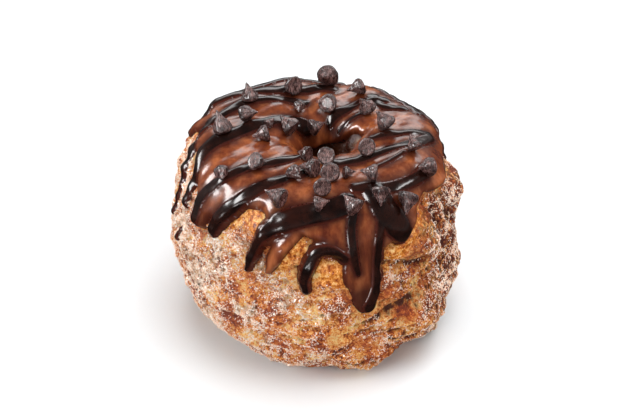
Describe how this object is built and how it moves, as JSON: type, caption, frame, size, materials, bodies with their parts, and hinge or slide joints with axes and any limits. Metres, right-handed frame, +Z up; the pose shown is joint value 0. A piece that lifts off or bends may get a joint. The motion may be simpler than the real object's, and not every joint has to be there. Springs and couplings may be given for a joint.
{
  "type": "cruller doughnut",
  "caption": "Tall ring doughnut of layered dough with a sugared golden crust, dripping milk chocolate icing, dark chocolate drizzle and scattered chocolate chips.",
  "frame": {"origin": "middle of the whole doughnut's box, on the surface that it stands on", "axes": "+Z up through the hole, -Y towards the viewer of the picture, +X to the viewer's right"},
  "size_m": [0.086, 0.0864, 0.0696],
  "materials": {
    "sugared_crust": "golden brown layered crust, rolled in sugar",
    "chocolate_icing": "set milk chocolate icing under thick dark chocolate drizzle, glossy",
    "chocolate_chip": "plain dark chocolate chip, slightly dusty"
  },
  "bodies": {
    "root": {"pastry": "sugared_crust", "icing": "chocolate_icing", "chip_01": "chocolate_chip", "chip_02": "chocolate_chip", "chip_03": "chocolate_chip", "chip_04": "chocolate_chip", "chip_05": "chocolate_chip", "chip_06": "chocolate_chip", "chip_07": "chocolate_chip", "chip_08": "chocolate_chip", "chip_09": "chocolate_chip", "chip_10": "chocolate_chip", "chip_11": "chocolate_chip", "chip_12": "chocolate_chip", "chip_13": "chocolate_chip", "chip_14": "chocolate_chip", "chip_15": "chocolate_chip", "chip_16": "chocolate_chip", "chip_17": "chocolate_chip", "chip_18": "chocolate_chip", "chip_19": "chocolate_chip", "chip_20": "chocolate_chip", "chip_21": "chocolate_chip", "chip_22": "chocolate_chip", "chip_23": "chocolate_chip", "chip_24": "chocolate_chip", "chip_25": "chocolate_chip", "chip_26": "chocolate_chip", "chip_27": "chocolate_chip", "chip_28": "chocolate_chip", "chip_29": "chocolate_chip", "chip_30": "chocolate_chip", "chip_31": "chocolate_chip", "chip_32": "chocolate_chip"}
  },
  "joints": []
}
